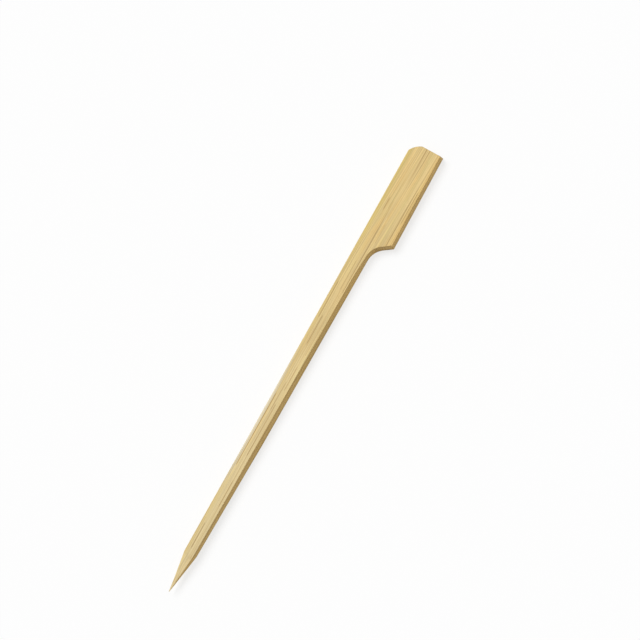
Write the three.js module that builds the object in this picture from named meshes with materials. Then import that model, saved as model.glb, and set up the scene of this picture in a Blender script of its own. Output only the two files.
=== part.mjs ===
// A paddle skewer, made from one strip of bamboo: a flat grip at one end, a long stem along one edge,
// and a ground point at the other end. It lies on its back face, as it comes to rest on a table.
//
// Millimetres. X runs from the point to the grip, +Y is the side of the straight edge, and +Z is up
// out of the face. The origin is on the table, under the middle of the outline.
import * as THREE from "three";

// The strip
const skewerLength = 150; // along the face
const stripThickness = 3;
const edgeRadius = 0.18; // the long edges, eased by tumbling

// The grip, a flat paddle. Widths are measured from the straight edge.
const gripLength = 31.3; // along its milled edge, from the shoulder to the butt end
const gripButtWidth = 9.85;
const gripShoulderWidth = 10.15;
const buttSkew = THREE.MathUtils.degToRad(5.4); // the butt end is sawn a little off square
const buttLean = 0.65; // and leans, so that the back runs on past the face by this much

// The clipped corner of the butt end, on the straight edge
const clipLength = 2.65;
const clipWidth = 3.3;
const clipBelly = 0.42; // how far the cut bows out beyond a straight line

// The shoulder: a slanting cut that runs into the stem with a hollow curve
const shoulderSlant = THREE.MathUtils.degToRad(31); // from square across the skewer
const shoulderRadius = 5.5;

// The stem
const stemRootWidth = 4.82; // where its side, drawn on, meets the slanting cut
const stemFootWidth = 3.69; // where the point begins
const stemLean = 0.32; // the milled side leans in by this much at the face
const leanRunOut = 7; // length over which the lean fades out towards the shoulder
const thinnedLength = 50; // from the tip: over this length the back rises off the table
const stemFootThickness = 1.65; // where the point begins

// The point, ground from four sides. A fullness of 1 is straight, less is full and more is hollow.
const pointLength = 12.3;
const pointNearFullness = 1.08; // on the straight edge
const pointFarFullness = 0.92; // on the milled side
const pointFaceFullness = 0.95; // on the face and the back
const tipSide = 0.12; // the blunt end of the point, a small square
const tipFromEdge = 1.75; // its middle, from the straight edge
const tipBelowFace = 0.8; // its middle, from the face

// How finely the round stretches are divided
const cornerSteps = 4;
const filletSteps = 20;
const clipSteps = 8;
const pointSteps = 10;
const longestStep = 6;
const leastStep = 0.02;

const bambooColour = new THREE.Color(0xdabf85);

// The arc that rounds the corner between two straight lines: its centre, and where it starts and ends.
function filletBetween(before, corner, after, radius) {
  const inward = corner.clone().sub(before).normalize();
  const outward = after.clone().sub(corner).normalize();
  const turn = Math.acos(THREE.MathUtils.clamp(inward.dot(outward), -1, 1));
  const tangent = radius * Math.tan(turn / 2);
  const start = corner.clone().addScaledVector(inward, -tangent);
  const end = corner.clone().addScaledVector(outward, tangent);
  const side = Math.sign(inward.cross(outward));
  const centre = start.clone().add(new THREE.Vector2(-inward.y, inward.x).multiplyScalar(side * radius));
  return { start, end, centre };
}

// The milled edge seen from above, from the foot of the stem to the butt end.
// Its x is along the skewer and its y is the distance from the straight edge.
function milledEdge() {
  const foot = new THREE.Vector2(pointLength, stemFootWidth);
  const shoulder = new THREE.Vector2(skewerLength - gripLength, gripShoulderWidth);
  const shoulderRun = (gripShoulderWidth - stemRootWidth) * Math.tan(shoulderSlant);
  const root = new THREE.Vector2(shoulder.x - shoulderRun, stemRootWidth);
  const hollow = filletBetween(foot, root, shoulder, shoulderRadius);
  const startAngle = hollow.start.clone().sub(hollow.centre).angle();
  const endAngle = hollow.end.clone().sub(hollow.centre).angle();
  const path = new THREE.Path();
  path.moveTo(foot.x, foot.y);
  path.lineTo(hollow.start.x, hollow.start.y);
  path.absarc(hollow.centre.x, hollow.centre.y, shoulderRadius, startAngle, endAngle, false);
  path.lineTo(shoulder.x, shoulder.y);
  path.lineTo(skewerLength, gripButtWidth);
  return { outline: path.getPoints(filletSteps), hollowStart: hollow.start.x };
}

// The clipped corner seen from above, from the straight edge to the butt end.
function clippedCorner() {
  const start = new THREE.Vector2(skewerLength - clipLength, 0);
  const end = new THREE.Vector2(skewerLength, clipWidth);
  const across = end.clone().sub(start).normalize();
  const outward = new THREE.Vector2(across.y, -across.x);
  const middle = start.clone().add(end).multiplyScalar(0.5);
  const pull = middle.addScaledVector(outward, 2 * clipBelly);
  return new THREE.QuadraticBezierCurve(start, pull, end).getPoints(clipSteps);
}

// The distance from the straight edge at x, on an outline given as points in order of x.
function acrossAt(outline, x) {
  const next = outline.findIndex((p) => p.x >= x);
  if (next <= 0) {
    return next === 0 ? outline[0].y : outline[outline.length - 1].y;
  }
  const [a, b] = [outline[next - 1], outline[next]];
  return THREE.MathUtils.mapLinear(x, a.x, b.x, a.y, b.y);
}

// The four sides of the skewer at x: the straight edge and the milled side, the face, the back, and
// the milled side's lean.
function sidesAt(x, milled, clipped) {
  const { lerp, clamp, smoothstep } = THREE.MathUtils;
  const inPoint = Math.min(x / pointLength, 1);
  const rise = clamp((thinnedLength - x) / (thinnedLength - pointLength), 0, 1);
  const near = acrossAt(clipped, x);
  const far = acrossAt(milled.outline, Math.max(x, pointLength));
  const back = (stripThickness - stemFootThickness) * rise;
  const tipHeight = stripThickness - tipBelowFace;
  const onStem = 1 - smoothstep(x, milled.hollowStart - leanRunOut, milled.hollowStart);
  return {
    near: lerp(tipFromEdge - tipSide / 2, near, inPoint ** pointNearFullness),
    far: lerp(tipFromEdge + tipSide / 2, far, inPoint ** pointFarFullness),
    face: lerp(tipHeight + tipSide / 2, stripThickness, inPoint ** pointFaceFullness),
    back: lerp(tipHeight - tipSide / 2, back, inPoint ** pointFaceFullness),
    lean: stemLean * onStem * inPoint,
  };
}

// The section at x, as points in order round a four-sided shape with eased corners.
// Along the grip the sections turn from square, and the last one lies in the sawn butt end.
function sectionAt(x, milled, clipped) {
  const s = sidesAt(x, milled, clipped);
  const smallest = Math.min(s.far - s.near, s.face - s.back);
  const radius = Math.min(edgeRadius, smallest / 4);
  const farFace = s.far - s.lean;
  const corners = [
    [s.near + radius, s.back + radius, Math.PI],
    [s.far - radius, s.back + radius, 1.5 * Math.PI],
    [farFace - radius, s.face - radius, 0],
    [s.near + radius, s.face - radius, 0.5 * Math.PI],
  ];
  const onGrip = THREE.MathUtils.smoothstep(x, skewerLength - gripLength, skewerLength);
  const skew = Math.tan(buttSkew) * onGrip;
  const lean = (buttLean / stripThickness) * onGrip;
  const points = [];
  for (const [across, up, from] of corners) {
    const arc = new THREE.EllipseCurve(across, up, radius, radius, from, from + Math.PI / 2);
    for (const p of arc.getPoints(cornerSteps)) {
      const along = x - skew * (p.x - s.near) + lean * (stripThickness - p.y);
      points.push(new THREE.Vector3(along, -p.x, p.y));
    }
  }
  return points;
}

// Where sections are taken: at each bend of an outline, with none further apart than the longest step.
function stationsAlong(milled, clipped) {
  const bends = [0, thinnedLength, milled.hollowStart - leanRunOut];
  for (let i = 1; i <= pointSteps; i += 1) {
    bends.push((pointLength * i) / pointSteps);
  }
  bends.push(...milled.outline.map((p) => p.x));
  bends.push(...clipped.map((p) => p.x));
  bends.sort((a, b) => a - b);
  const kept = bends.filter((x, i) => i === bends.length - 1 || bends[i + 1] - x >= leastStep);
  const stations = [kept[0]];
  for (let i = 1; i < kept.length; i += 1) {
    const steps = Math.ceil((kept[i] - kept[i - 1]) / longestStep);
    for (let k = 1; k <= steps; k += 1) {
      stations.push(THREE.MathUtils.lerp(kept[i - 1], kept[i], k / steps));
    }
  }
  return stations;
}

// A closed skin over the sections, with a fan of triangles over each end.
function skinOver(sections) {
  const round = sections[0].length;
  const positions = [];
  const indices = [];
  for (const section of sections) {
    section.forEach((p) => positions.push(...p.toArray()));
  }
  for (let s = 0; s + 1 < sections.length; s += 1) {
    for (let i = 0; i < round; i += 1) {
      const next = (i + 1) % round;
      const [a, b] = [s * round + i, s * round + next];
      const [c, d] = [a + round, b + round];
      indices.push(a, d, b, a, c, d);
    }
  }
  for (const end of [0, sections.length - 1]) {
    const middle = new THREE.Vector3();
    sections[end].forEach((p) => middle.addScaledVector(p, 1 / round));
    const centre = positions.length / 3;
    positions.push(...middle.toArray());
    for (let i = 0; i < round; i += 1) {
      const rim = [end * round + i, end * round + ((i + 1) % round)];
      indices.push(centre, ...(end === 0 ? rim : rim.reverse()));
    }
  }
  const geometry = new THREE.BufferGeometry();
  geometry.setAttribute("position", new THREE.Float32BufferAttribute(positions, 3));
  geometry.setIndex(indices);
  geometry.computeVertexNormals();
  return geometry;
}

function makeSkewer() {
  const milled = milledEdge();
  const clipped = clippedCorner();
  const sections = stationsAlong(milled, clipped).map((x) => sectionAt(x, milled, clipped));
  const material = new THREE.MeshStandardMaterial({
    color: bambooColour,
    roughness: 0.6,
    metalness: 0,
  });
  const skin = skinOver(sections);
  skin.computeBoundingBox();
  const middle = skin.boundingBox.getCenter(new THREE.Vector3());
  const mesh = new THREE.Mesh(skin, material);
  mesh.name = "skewer";
  mesh.position.set(-middle.x, -middle.y, -skin.boundingBox.min.z);
  return mesh;
}

const paddleSkewer = new THREE.Group();
paddleSkewer.add(makeSkewer());

export default paddleSkewer;
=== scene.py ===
# A bamboo paddle skewer, lying on a table. Metres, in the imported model's frame: X runs from the
# point to the grip, +Y is the side of the straight edge, and +Z is up out of the face.
import math

import bmesh
import bpy
from mathutils import Matrix, Vector


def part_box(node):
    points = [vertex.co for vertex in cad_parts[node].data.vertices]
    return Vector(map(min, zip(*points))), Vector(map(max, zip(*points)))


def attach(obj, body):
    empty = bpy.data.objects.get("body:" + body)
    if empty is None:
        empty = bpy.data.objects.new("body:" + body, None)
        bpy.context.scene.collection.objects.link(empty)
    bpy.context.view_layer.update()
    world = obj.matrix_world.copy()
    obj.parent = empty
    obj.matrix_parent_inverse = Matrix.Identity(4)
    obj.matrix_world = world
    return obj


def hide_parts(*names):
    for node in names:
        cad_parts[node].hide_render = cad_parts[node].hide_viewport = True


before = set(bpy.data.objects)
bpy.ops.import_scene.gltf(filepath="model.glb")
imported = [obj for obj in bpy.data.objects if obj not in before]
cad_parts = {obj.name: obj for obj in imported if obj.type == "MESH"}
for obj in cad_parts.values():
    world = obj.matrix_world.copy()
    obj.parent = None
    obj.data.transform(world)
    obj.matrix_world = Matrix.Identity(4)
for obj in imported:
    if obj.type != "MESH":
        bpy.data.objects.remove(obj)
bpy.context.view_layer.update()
MM = 0.001


# The strip
# One length of split bamboo, planed on its face and back, milled along one side, ground to a point
# and sawn off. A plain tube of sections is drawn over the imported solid, which gives it the solid's
# form to the last corner, with points enough to carry the fibres.

low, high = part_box("skewer")
tip, straight_edge, face = low.x, high.y, high.z
inside_height = 2.2 * MM  # lies inside the solid all the way, also in the point
skewer_length = 150 * MM  # along the face
point_length = 12.3 * MM
grip_length = 31.3 * MM
clip_width = 3.3 * MM  # from the straight edge to where the butt end's straight cut begins
butt_skew = math.tan(math.radians(5.4))  # the butt end is sawn a little off square
butt_lean = 0.65 * MM / face  # and leans, so that the back runs on past the face
butt = tip + skewer_length
butt_end = butt + clip_width * butt_skew  # the sawn end's plane, where it meets the straight edge
end_easing = 0.1 * MM  # the sawn end's rim, rubbed round
easing_steps = 4
end_rings = 9
tip_closing = 0.09 * MM  # more than half the blunt tip's width, so that the skin closes there
clearance = 0.01 * MM  # keeps the rays off the two end faces
outside = 5 * MM  # well clear of the solid, where rays that measure it start
solid_merge = 0.001 * MM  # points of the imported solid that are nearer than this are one
skin_merge = 0.0005 * MM  # and so are points of the skin

# Stretches of the length with their own spacing of sections, in millimetres from the tip
stretches = [
    (0.02, 12.3, 0.25),  # the point
    (12.3, 110.0, 0.62),  # the stem
    (110.0, 115.0, 0.3),  # its root
    (115.0, 119.4, 0.11),  # the shoulder
    (119.4, 146.8, 0.5),  # the grip
    (146.8, 150.1, 0.12),  # the clipped corner
]
face_points = 92
side_points = 28


def section_points():
    """One turn round a square from -1 to 1, with its points closer together near the corners."""
    points = []
    for count, start, along in (
        (face_points, (-1, 1), (1, 0)),
        (side_points, (1, 1), (0, -1)),
        (face_points, (1, -1), (-1, 0)),
        (side_points, (-1, -1), (0, 1)),
    ):
        for i in range(count):
            even = 2 * i / count - 1
            crowded = math.sin(even * math.pi / 2)
            gone = 1 + (even + crowded) / 2
            points.append((start[0] + along[0] * gone, start[1] + along[1] * gone))
    return points


def section_places():
    """Each section's place along the strip, and how far it is drawn in from the solid's sides."""
    places = [(tip, tip_closing), (tip, tip_closing / 3), (tip, 0)]
    for start, end, spacing in stretches:
        steps = round((end - start) / spacing)
        places += [(tip + (start + (end - start) * i / steps) * MM, 0) for i in range(steps)]
    for i in range(easing_steps + 1):
        angle = i / easing_steps * math.pi / 2
        short_of_end = end_easing * (1 - math.sin(angle))
        places.append((butt_end - short_of_end, end_easing * (1 - math.cos(angle))))
    reach = (high.z - low.z) / 2 - end_easing
    places += [(butt_end, end_easing + reach * i / end_rings) for i in range(1, end_rings + 1)]
    return places


def add_object(name, mesh):
    piece = bpy.data.objects.new(name, mesh)
    bpy.context.scene.collection.objects.link(piece)
    return piece


def make_tube(name):
    """The plain tube. A point's x is its place along, and its y and z say which way it faces."""
    section = section_points()
    places = section_places()
    round_count = len(section)
    points = [(x, y, z) for x, _ in places for y, z in section]
    faces = []
    for ring in range(len(places) - 1):
        for i in range(round_count):
            a = ring * round_count + i
            b = ring * round_count + (i + 1) % round_count
            faces.append((a, a + round_count, b + round_count, b))
    mesh = bpy.data.meshes.new(name)
    mesh.from_pydata(points, [], faces)
    inset = mesh.attributes.new("inset", "FLOAT", "POINT")
    inset.data.foreach_set("value", [drawn for _, drawn in places for _ in section])
    return add_object(name, mesh)


def copy_of_solid(name):
    """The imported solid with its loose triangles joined, for rays to be cast on."""
    joined = bmesh.new()
    joined.from_mesh(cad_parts["skewer"].data)
    bmesh.ops.remove_doubles(joined, verts=joined.verts, dist=solid_merge)
    mesh = bpy.data.meshes.new(name)
    joined.to_mesh(mesh)
    joined.free()
    return add_object(name, mesh)


class Field:
    """An output of a node. Sums written with fields become the tree's own Math nodes."""

    def __init__(self, tree, socket):
        self.tree, self.socket = tree, socket

    def math(self, operation, *others):
        node = self.tree.nodes.new("ShaderNodeMath")
        node.operation = operation
        for slot, value in zip(node.inputs, (self, *others)):
            feed(self.tree, slot, value)
        return Field(self.tree, node.outputs[0])

    def __add__(self, other):
        return self.math("ADD", other)

    def __sub__(self, other):
        return self.math("SUBTRACT", other)

    def __mul__(self, other):
        return self.math("MULTIPLY", other)

    def __truediv__(self, other):
        return self.math("DIVIDE", other)

    def rest(self):
        """What is left of 1."""
        return self * -1.0 + 1.0

    def fade(self, start, end, low_value=0.0, high_value=1.0):
        """Goes smoothly from the low to the high value as this field goes from start to end."""
        node = self.tree.nodes.new("ShaderNodeMapRange")
        node.interpolation_type = "SMOOTHSTEP"
        for slot, value in zip(node.inputs, (self, start, end, low_value, high_value)):
            feed(self.tree, slot, value)
        return Field(self.tree, node.outputs[0])


def feed(tree, slot, value):
    """Gives a node's input a field, a socket or a plain value."""
    if isinstance(value, Field):
        value = value.socket
    if isinstance(value, bpy.types.NodeSocket):
        tree.links.new(value, slot)
    else:
        slot.default_value = value


def add(tree, kind, inputs=None, **settings):
    """Adds a node with its settings, and feeds the inputs that are named."""
    node = tree.nodes.new(kind)
    for name, value in settings.items():
        setattr(node, name, value)
    for name, value in (inputs or {}).items():
        feed(tree, node.inputs[name], value)
    return node


def vector(tree, x, y, z):
    return add(tree, "ShaderNodeCombineXYZ", {"X": x, "Y": y, "Z": z}).outputs[0]


def parts(tree, socket):
    node = add(tree, "ShaderNodeSeparateXYZ", {"Vector": socket})
    return [Field(tree, out) for out in node.outputs]


def new_tree(name, inputs):
    """A tree for a modifier, with its named inputs, as the tree and the inputs' sockets."""
    tree = bpy.data.node_groups.new(name, "GeometryNodeTree")
    tree.interface.new_socket("Geometry", in_out="INPUT", socket_type="NodeSocketGeometry")
    for label, kind in inputs.items():
        tree.interface.new_socket(label, in_out="INPUT", socket_type="NodeSocket" + kind)
    tree.interface.new_socket("Geometry", in_out="OUTPUT", socket_type="NodeSocketGeometry")
    return tree, tree.nodes.new("NodeGroupInput").outputs


def add_modifier(piece, tree, values):
    """Adds a tree to a piece, with its inputs set by their names."""
    modifier = piece.modifiers.new(tree.name, "NODES")
    modifier.node_group = tree
    for item in tree.interface.items_tree:
        if item.in_out == "INPUT" and item.name in values:
            modifier[item.identifier] = values[item.name]


def form_tree(name):
    """Draws the tube over the solid, section by section, with rays cast from within."""
    tree, given = new_tree(name, {"Solid": "Object", "Grip Length": "Float",
                                  "Butt Skew": "Float", "Butt Lean": "Float"})
    solid = add(tree, "GeometryNodeObjectInfo", {"Object": given["Solid"]}).outputs["Geometry"]

    # A section's plane turns along the grip, until it lies in the sawn end.
    x, way_y, way_z = parts(tree, tree.nodes.new("GeometryNodeInputPosition").outputs[0])
    station = x.math("MAXIMUM", tip + clearance).math("MINIMUM", butt_end - clearance)
    turned = x.fade(Field(tree, given["Grip Length"]) * -1.0 + butt, butt)
    skew = turned * Field(tree, given["Butt Skew"])
    lean = turned * Field(tree, given["Butt Lean"])

    def cast(y, z, to_y, to_z):
        """Where a ray in the section's plane meets the solid."""
        start_x = station + skew * (y - straight_edge) - lean * (z - face)
        ray = add(tree, "GeometryNodeRaycast", {
            "Target Geometry": solid, "Source Position": vector(tree, start_x, y, z),
            "Ray Direction": vector(tree, skew * to_y - lean * to_z, to_y, to_z)})
        return parts(tree, ray.outputs["Hit Position"])

    near = cast(straight_edge + outside, inside_height, -1, 0)[1]
    far = cast(-straight_edge - outside, inside_height, 1, 0)[1]
    middle_y, half_width = (near + far) * 0.5, (near - far) * 0.5
    top = cast(middle_y, face + outside, 0, -1)[2]
    bottom = cast(middle_y, -outside, 0, 1)[2]
    middle_z, half_height = (top + bottom) * 0.5, (top - bottom) * 0.5

    # The skin, drawn in at the two ends until it closes.
    _, hit_y, hit_z = cast(middle_y, middle_z, way_y * half_width, way_z * half_height)
    inset = Field(tree, add(tree, "GeometryNodeInputNamedAttribute", {"Name": "inset"}).outputs[0])
    skin_y = middle_y + (hit_y - middle_y) * (inset / half_width).rest().math("MAXIMUM", 0.0)
    skin_z = middle_z + (hit_z - middle_z) * (inset / half_height).rest().math("MAXIMUM", 0.0)
    skin_x = x + skew * (skin_y - straight_edge) - lean * (skin_z - face)
    skin = add(tree, "GeometryNodeSetPosition", {"Geometry": given["Geometry"],
                                                 "Position": vector(tree, skin_x, skin_y, skin_z)})
    closed = add(tree, "GeometryNodeMergeByDistance", {"Geometry": skin.outputs[0],
                                                       "Distance": skin_merge})
    tree.links.new(closed.outputs[0], tree.nodes.new("NodeGroupOutput").inputs[0])
    return tree


solid_copy = copy_of_solid("solid_copy")
tube = make_tube("plain_tube")
add_modifier(tube, form_tree("strip_form"),
             {"Solid": solid_copy, "Grip Length": grip_length,
              "Butt Skew": butt_skew, "Butt Lean": butt_lean})


# The fibres
# Bundles of fibres run the length of the strip and end in dots on its sawn end. They follow the stem
# and lean across the grip. Here and there one lies bare on the face, as a fine brown strand.

# Sizes of the fibres, in millimetres
bundle_pitch = 0.62  # from one bundle to the next
bundle_length = 70.0  # over which a bundle wanders off
bundle_core = 0.16  # in pitches, from a bundle's middle to where it starts to fade
bundle_edge = 0.42  # and to where it ends
grain_lean = math.tan(math.radians(2.15))
grain_bends = 111.0  # from the tip, where the lean begins
bend_softness = 8.0
sway_reach = 0.7  # how far the fibres sway aside
ground_edge = 0.6  # over which the ground point's marks begin

# Streaks in the wood: how long and how wide they are in millimetres, how many finer noises lie on
# them, and, where it isn't a half, how strong those are
sway_streaks = (45.0, 9.0, 1.0)
furrow_streaks = (14.0, 0.5, 2.0)
ripple_streaks = (0.55, 6.0, 1.0)
fine_streaks = (9.0, 0.11, 3.0, 0.6)
coarse_streaks = (32.0, 0.3, 2.0, 0.6)
band_streaks = (30.0, 0.8, 2.0)
patch_streaks = (16.0, 3.0, 2.0)

# Torn wood on the sawn end, in millimetres
torn_length = 0.4
torn_width = 0.16
torn_height = 1.2

# How far the skin faces along the skewer where sawn wood begins and is whole, and across it, away
# from the straight edge, for the milled side
sawn_facing = (0.25, 0.7)
milled_facing = (-0.5, -0.85)

# The relief, in shares of its depth
fibre_depth = 0.016 * MM
furrow_relief = 1.4
bundle_relief = 0.5
sawn_relief = 2.4
ripple_relief = 0.9
planed_off = 0.35  # what the plane took off the ridges
bare_tip = 0.1  # millimetres from the tip, where the relief starts
whole_relief = 1.5  # and where it is whole

strand_reach = 0.25 * MM  # from a strand's middle to where its mark ends
strand_dive = 0.4  # millimetres down at each end of a strand
strand_fade = 1.6  # and along, to get there

# The bare strands, each as a list of its ends and bends in millimetres: how far from the tip, how
# far from the straight edge, and how deep under the face.
strands = [
    [(151.0, 3.57, 0.12), (141.8, 3.5, 0.14), (128.8, 3.48, 0.15)],
    [(151.0, 5.13, 0.0), (143.0, 5.12, 0.04), (136.0, 4.8, 0.18), (126.0, 4.62, 0.13)],
    [(151.0, 6.14, 0.03), (145.4, 6.12, 0.08), (136.7, 5.8, 0.17)],
    [(131.4, 2.24, 0.05), (128.0, 2.23, 0.07)],
    [(131.0, 3.85, 0.15), (123.0, 3.9, 0.1), (120.0, 3.9, 0.0), (111.1, 3.88, 0.02), (100.0, 3.81, 0.08)],
    [(146.0, 7.5, 0.17), (133.0, 7.45, 0.18)],
    [(137.0, 8.66, 0.14), (128.0, 8.56, 0.02), (116.5, 8.53, 0.0)],
    [(136.0, 9.24, 0.08), (126.0, 9.22, 0.1)],
    [(123.5, 5.17, 0.13), (117.4, 5.15, 0.14)],
    [(102.0, 0.95, 0.08), (90.8, 0.95, 0.08)],
    [(110.0, 2.7, 0.12), (100.6, 2.68, 0.12)],
    [(90.8, 1.9, 0.04), (82.0, 1.9, 0.04)],
    [(90.4, 3.25, 0.15), (78.4, 3.24, 0.15)],
    [(73.8, 2.84, 0.1), (66.8, 2.83, 0.1)],
    [(68.4, 2.07, 0.1), (59.8, 2.06, 0.1)],
    [(64.3, 1.05, 0.04), (52.0, 1.05, 0.0), (41.4, 1.03, 0.04)],
    [(61.4, 2.57, 0.08), (45.0, 2.55, 0.08)],
    [(53.8, 0.58, 0.16), (37.2, 0.62, 0.16)],
    [(35.8, 2.6, 0.1), (28.2, 2.6, 0.1)],
    [(21.6, 1.42, 0.08), (14.3, 1.45, 0.06)],
    [(23.6, 0.78, 0.16), (12.9, 0.79, 0.16)],
    [(15.2, 2.93, 0.16), (11.4, 2.87, 0.16)],
]


def make_strands(name):
    """The strands as chains of edges. Each dives at both ends, so its mark fades out there."""
    points, edges = [], []
    for path in strands:
        (first, first_across, _), (last, last_across, _) = path[0], path[-1]
        bends = [(first + strand_fade, first_across, strand_dive), *path,
                 (last - strand_fade, last_across, strand_dive)]
        start = len(points)
        points += [(tip + a * MM, straight_edge - b * MM, face - down * MM) for a, b, down in bends]
        edges += [(start + i, start + i + 1) for i in range(len(bends) - 1)]
    mesh = bpy.data.meshes.new(name)
    mesh.from_pydata(points, edges, [])
    return add_object(name, mesh)


noise_middle = 0.5  # a noise goes from 0 to 1 about this


def noise(tree, x, y, z, detail, roughness=0.5):
    node = add(tree, "ShaderNodeTexNoise", {"Vector": vector(tree, x, y, z), "Scale": 1.0,
                                            "Detail": detail, "Roughness": roughness})
    return Field(tree, node.outputs[0])


def streaks(tree, along, across, up, length, width, detail, roughness=0.5):
    """Noise from 0 to 1 that is drawn out lengthwise, its streaks as long and wide as given."""
    return noise(tree, along / length, across / width, up / width, detail, roughness)


def places_in_wood(tree, position):
    """Millimetres from the tip, from the straight edge and up, and across the straightened fibres."""
    x, y, z = parts(tree, position)
    along = (x - tip) * (1 / MM)
    across = (y - straight_edge) * (-1 / MM)
    up = z * (1 / MM)
    leaned = (along - grain_bends).math("SMOOTH_MAX", 0.0, bend_softness) * grain_lean
    sway = streaks(tree, along, across, up, *sway_streaks) - noise_middle
    return along, across, up, across - leaned + sway * sway_reach


def bundles(tree, along, fibre, up):
    """1 along the middle of a bundle of fibres, and 0 between the bundles."""
    place = vector(tree, along / bundle_length, fibre / bundle_pitch, up / bundle_pitch)
    cells = add(tree, "ShaderNodeTexVoronoi", {"Vector": place, "Scale": 1.0, "Randomness": 0.9})
    return Field(tree, cells.outputs["Distance"]).fade(bundle_edge, bundle_core)


def fibre_tree(name):
    """Cuts the fibres and the tools' marks into the skin, and stores where each of them lies."""
    tree, given = new_tree(name, {"Strands": "Object", "Material": "Material",
                                  "Strand Reach": "Float", "Fibre Depth": "Float",
                                  "Planed Off": "Float"})
    chains = add(tree, "GeometryNodeObjectInfo", {"Object": given["Strands"]}).outputs["Geometry"]
    position = tree.nodes.new("GeometryNodeInputPosition").outputs[0]
    normal = tree.nodes.new("GeometryNodeInputNormal").outputs[0]
    along, _, up, fibre = places_in_wood(tree, position)
    normal_x, normal_y, _ = parts(tree, normal)

    # How near a strand is, and which tool has bared the wood, by the way that the skin faces. The
    # sawn end and the shoulder face along the skewer.
    away = add(tree, "GeometryNodeProximity", {"Geometry": chains, "Sample Position": position},
               target_element="EDGES")
    strand = Field(tree, away.outputs["Distance"]).fade(Field(tree, given["Strand Reach"]), 0.0)
    sawn = normal_x.math("ABSOLUTE").fade(*sawn_facing)
    milled = normal_y.fade(*milled_facing)
    ground = along.fade(point_length / MM, point_length / MM - ground_edge)
    geometry = given["Geometry"]
    for label, value in (("strand", strand), ("sawn", sawn), ("milled", milled)):
        geometry = add(tree, "GeometryNodeStoreNamedAttribute", {
            "Geometry": geometry, "Name": label, "Value": value},
            data_type="FLOAT", domain="POINT").outputs[0]

    # Furrows between the fibres, rough wood where the saw cut them, and the cutter's and the
    # grinder's ripples across the milled side and the point. All of it is cut inwards, and what
    # lies above the planed skin is flat, so the back rests on the table and nowhere in it.
    furrows = streaks(tree, along, fibre, up, *furrow_streaks) - noise_middle
    torn = noise(tree, along / torn_length, fibre / torn_width, up / torn_height, 2.0) - noise_middle
    ripples = streaks(tree, along, fibre, up, *ripple_streaks) - noise_middle
    bundle = bundles(tree, along, fibre, up)
    lengthwise = furrows * furrow_relief - bundle * bundle_relief - strand
    rippled = milled.math("MAXIMUM", ground) * ripples * ripple_relief
    relief = (lengthwise + rippled) * sawn.rest() + torn * sawn * sawn_relief
    relief = (relief - Field(tree, given["Planed Off"])).math("MINIMUM", 0.0)
    relief = relief * along.fade(bare_tip, whole_relief)
    lift = add(tree, "ShaderNodeVectorMath", operation="SCALE")
    feed(tree, lift.inputs[0], normal)
    feed(tree, lift.inputs["Scale"], relief * Field(tree, given["Fibre Depth"]))
    cut = add(tree, "GeometryNodeSetPosition", {"Geometry": geometry, "Offset": lift.outputs[0]})
    smooth = add(tree, "GeometryNodeSetShadeSmooth", {"Geometry": cut.outputs[0]})
    real = add(tree, "GeometryNodeRealizeInstances", {"Geometry": smooth.outputs[0]})
    done = add(tree, "GeometryNodeSetMaterial", {"Geometry": real.outputs[0],
                                                 "Material": given["Material"]})
    tree.links.new(done.outputs[0], tree.nodes.new("NodeGroupOutput").inputs[0])
    return tree


def mix_colour(tree, amount, first, second, blend="MIX"):
    node = add(tree, "ShaderNodeMix", data_type="RGBA", blend_type=blend)
    for slot, value in ((0, amount), (6, first), (7, second)):
        feed(tree, node.inputs[slot], value)
    return node.outputs[2]


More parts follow.
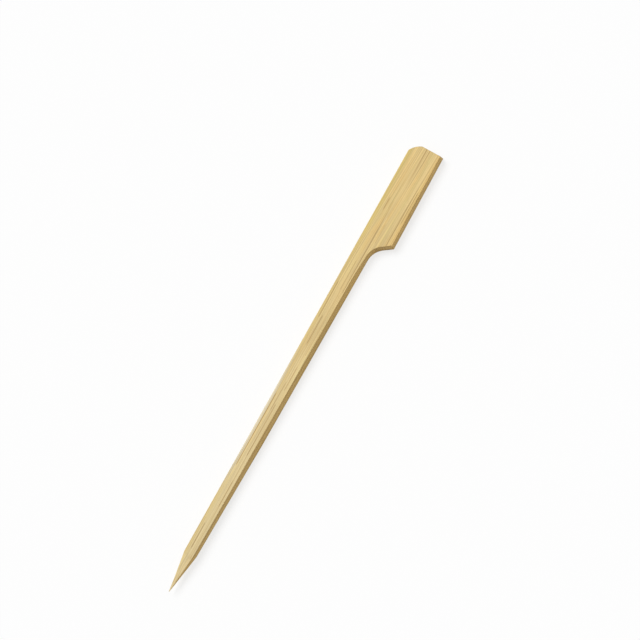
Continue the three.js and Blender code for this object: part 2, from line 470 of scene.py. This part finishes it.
def bamboo_material(name):
    """Bare bamboo: straw, honey and greenish bands, browner where it is milled or sawn, with painted
    shade along the straight rim and on the milled side's top, and a painted highlight on the straight rim
    low on the stem.
    """
    straw = (0.70, 0.52, 0.225, 1)
    honey = (0.73, 0.50, 0.185, 1)
    greenish = (0.66, 0.515, 0.215, 1)
    pale = (0.70, 0.58, 0.33, 1)  # towards the point
    rim_highlight_grey = (0.72, 0.64, 0.47, 1)  # the straight edge's rim, low on the stem: a painted pale highlight on the rounded edge
    amber = (0.74, 0.47, 0.14, 1)  # the grip's milled rim
    olive_rim_shade = (0.65, 0.485, 0.15, 1)  # the grip's straight rim, and more weakly the stem's: painted shade along the straight edge
    bundle_brown = (0.55, 0.36, 0.13, 1)
    strand_brown = (0.33, 0.19, 0.055, 1)
    milled_brown = (0.65, 0.42, 0.122, 1)
    milled_shade_brown = (0.49, 0.26, 0.045, 1)  # painted shade on the milled side's top, which leaves its lower part lighter as if lit by the table below
    sawn_brown = (0.53, 0.345, 0.12, 1)

    # How strongly each mark is tinted
    bundle_tint = 0.3
    strand_tint = 0.8
    milled_tint = 0.85
    sawn_tint = 0.8

    # How much darker and lighter the streaks make the wood, between a noise's usual ends
    usual = (0.25, 0.75)
    fine_shades = (0.93, 1.06)
    coarse_shades = (0.83, 1.15)

    # The finish: satin where it is planed, and duller by this much where it is sawn
    satin = (0.52, 0.66)
    sawn_dullness = 0.2
    pore_depth = 0.03 * MM
    pore_strength = 0.5

    material = bpy.data.materials.new(name)
    material.use_nodes = True
    tree = material.node_tree
    shader = tree.nodes["Principled BSDF"]
    place = tree.nodes.new("ShaderNodeTexCoord").outputs["Object"]
    along, across, up, fibre = places_in_wood(tree, place)

    def stored(label):
        return Field(tree, add(tree, "ShaderNodeAttribute", attribute_name=label).outputs["Fac"])

    sawn, milled, strand = stored("sawn"), stored("milled"), stored("strand")
    bundle = bundles(tree, along, fibre, up)
    fine = streaks(tree, along, fibre, up, *fine_streaks)
    coarse = streaks(tree, along, fibre, up, *coarse_streaks)
    band = streaks(tree, along, fibre, up, *band_streaks)
    patch = streaks(tree, along, fibre, up, *patch_streaks)

    # Where the wood takes each tint, and how much of it, in millimetres along, across and up
    on_grip = along.fade(108.0, 122.0)
    near_face = up.fade(2.2, 2.9)
    towards_point = along.fade(120.0, 20.0) * 0.6
    milled_rim = across.fade(8.2, 9.9) * near_face * on_grip * 0.5
    # Painted shade: a darker olive band along the straight edge, stronger on the grip.
    straight_rim_shade = across.fade(1.9, 0.4) * near_face * (on_grip * 0.5 + 0.35)
    low_stem = along.fade(86.0, 62.0) * along.fade(28.0, 48.0)
    # Painted highlight: a pale grey band on the straight edge's rim, low on the stem.
    low_rim_highlight = across.fade(1.0, 0.7) * near_face * low_stem * 0.75
    # Painted shade: the milled side darkens towards the face and stays lighter low down, near the table.
    milled_top_shading = up.fade(1.9, 2.9) * 0.5
    colour = mix_colour(tree, patch.fade(0.35, 0.65), greenish, honey)
    colour = mix_colour(tree, band.fade(0.3, 0.6), colour, straw)
    colour = mix_colour(tree, towards_point, colour, pale)
    colour = mix_colour(tree, milled_rim, colour, amber)
    colour = mix_colour(tree, straight_rim_shade, colour, olive_rim_shade)
    colour = mix_colour(tree, low_rim_highlight, colour, rim_highlight_grey)

    # The fibres in it, and the cuts
    # The milled side's brown, with painted shade towards its top.
    milled_tone = mix_colour(tree, milled_top_shading, milled_brown, milled_shade_brown)
    sawn_tone = mix_colour(tree, bundle, sawn_brown, strand_brown)
    colour = mix_colour(tree, bundle * bundle_tint, colour, bundle_brown)
    colour = mix_colour(tree, strand * strand_tint, colour, strand_brown)
    colour = mix_colour(tree, milled * milled_tint, colour, milled_tone)
    colour = mix_colour(tree, sawn * sawn_tint, colour, sawn_tone)
    shade = fine.fade(*usual, *fine_shades) * coarse.fade(*usual, *coarse_shades)
    tone = add(tree, "ShaderNodeCombineColor", {"Red": shade, "Green": shade, "Blue": shade})
    colour = mix_colour(tree, 1.0, colour, tone.outputs[0], "MULTIPLY")
    feed(tree, shader.inputs["Base Color"], colour)

    feed(tree, shader.inputs["Roughness"], fine.fade(0.3, 0.7, *satin) + sawn * sawn_dullness)
    shader.inputs["Specular IOR Level"].default_value = 0.3
    bump = add(tree, "ShaderNodeBump", {"Height": fine - bundle * bundle_relief,
                                        "Strength": pore_strength, "Distance": pore_depth})
    feed(tree, shader.inputs["Normal"], bump.outputs[0])
    return material


def as_mesh(piece, name):
    """The evaluated piece as a plain mesh object."""
    depsgraph = bpy.context.evaluated_depsgraph_get()
    mesh = bpy.data.meshes.new_from_object(piece.evaluated_get(depsgraph))
    mesh.name = name
    return add_object(name, mesh)


strand_chains = make_strands("strand_chains")
add_modifier(tube, fibre_tree("strip_fibres"),
             {"Strands": strand_chains, "Material": bamboo_material("split_bamboo"),
              "Strand Reach": strand_reach, "Fibre Depth": fibre_depth, "Planed Off": planed_off})
strip = as_mesh(tube, "bamboo_strip")
for helper in (tube, solid_copy, strand_chains):
    bpy.data.objects.remove(helper)
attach(strip, "root")
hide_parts("skewer")


# The table
# A smooth white sheet under the skewer, far larger than the picture. It takes the skewer's soft
# shadow, and shows as white to the camera beyond it.

shadow_kept = 0.28  # the share of the shadow that the camera sees
table_half = 3.0


def seen_directly(tree):
    """1 for what the camera sees, also by way of a reflection or through glass."""
    rays = tree.nodes.new("ShaderNodeLightPath")
    camera, glossy, through = (
        Field(tree, rays.outputs[kind])
        for kind in ("Is Camera Ray", "Is Glossy Ray", "Is Transmission Ray"))
    return camera.math("MAXIMUM", glossy).math("MAXIMUM", through)


def paper_material(name):
    """Matt white paper, partly lifted to plain white where it is seen."""
    material = bpy.data.materials.new(name)
    material.use_nodes = True
    tree = material.node_tree
    shader = tree.nodes["Principled BSDF"]
    shader.inputs["Base Color"].default_value = (0.95, 0.95, 0.95, 1)
    shader.inputs["Roughness"].default_value = 0.9
    shader.inputs["Specular IOR Level"].default_value = 0.0
    glow = add(tree, "ShaderNodeEmission", {"Color": (1, 1, 1, 1), "Strength": 1.0})
    blend = tree.nodes.new("ShaderNodeMixShader")
    feed(tree, blend.inputs[0], seen_directly(tree) * (1 - shadow_kept))
    feed(tree, blend.inputs[1], shader.outputs[0])
    feed(tree, blend.inputs[2], glow.outputs[0])
    feed(tree, tree.nodes["Material Output"].inputs["Surface"], blend.outputs[0])
    return material


table_mesh = bpy.data.meshes.new("table")
corners = [(-table_half, -table_half), (table_half, -table_half),
           (table_half, table_half), (-table_half, table_half)]
table_mesh.from_pydata([(x, y, 0) for x, y in corners], [], [(0, 1, 2, 3)])
table_mesh.materials.append(paper_material("white_paper"))
add_object("table", table_mesh)


# Light and camera
# A large soft lamp over the straight edge, which leaves the milled side in half light, in a plain
# white room. The camera looks down on the face through a long lens, turned as the photograph is.

room_level = 0.42
lamp_level = 0.58  # with the room's, a level surface gets 1
lamp_spread = math.radians(40)

room = bpy.data.worlds.new("white_room")
room.use_nodes = True
walls = room.node_tree.nodes["Background"]
walls.inputs["Color"].default_value = (1, 1, 1, 1)
feed(room.node_tree, walls.inputs["Strength"],
     seen_directly(room.node_tree) * (1 - room_level) + room_level)
bpy.context.scene.world = room

lamp_direction = Vector((0.12, 0.55, 0.83)).normalized()
lamp = bpy.data.lights.new("soft_lamp", "SUN")
lamp.energy = lamp_level * math.pi / lamp_direction.z
lamp.angle = lamp_spread
soft_lamp = add_object("soft_lamp", lamp)
soft_lamp.rotation_euler = lamp_direction.to_track_quat("Z", "Y").to_euler()

look_at = Vector((14.32, 3.21, 3.0)) * MM
camera_distance = 0.8
camera_azimuth = math.radians(-31.92)
camera_elevation = math.radians(66.17)
picture_roll = math.radians(-31.13)  # turns the picture's up from the row's +Z
long_lens = 155.8  # millimetres
sensor_width = 36.0

away = Vector((math.sin(camera_azimuth) * math.cos(camera_elevation),
               -math.cos(camera_azimuth) * math.cos(camera_elevation),
               math.sin(camera_elevation)))
camera_data = bpy.data.cameras.new("camera")
camera_data.lens = long_lens
camera_data.sensor_width = sensor_width
camera = add_object("camera", camera_data)
aim = away.to_track_quat("Z", "Y").to_matrix() @ Matrix.Rotation(picture_roll, 3, "Z")
camera.matrix_world = Matrix.Translation(look_at + away * camera_distance) @ aim.to_4x4()
bpy.context.scene.camera = camera
bpy.context.scene.view_settings.view_transform = "Standard"
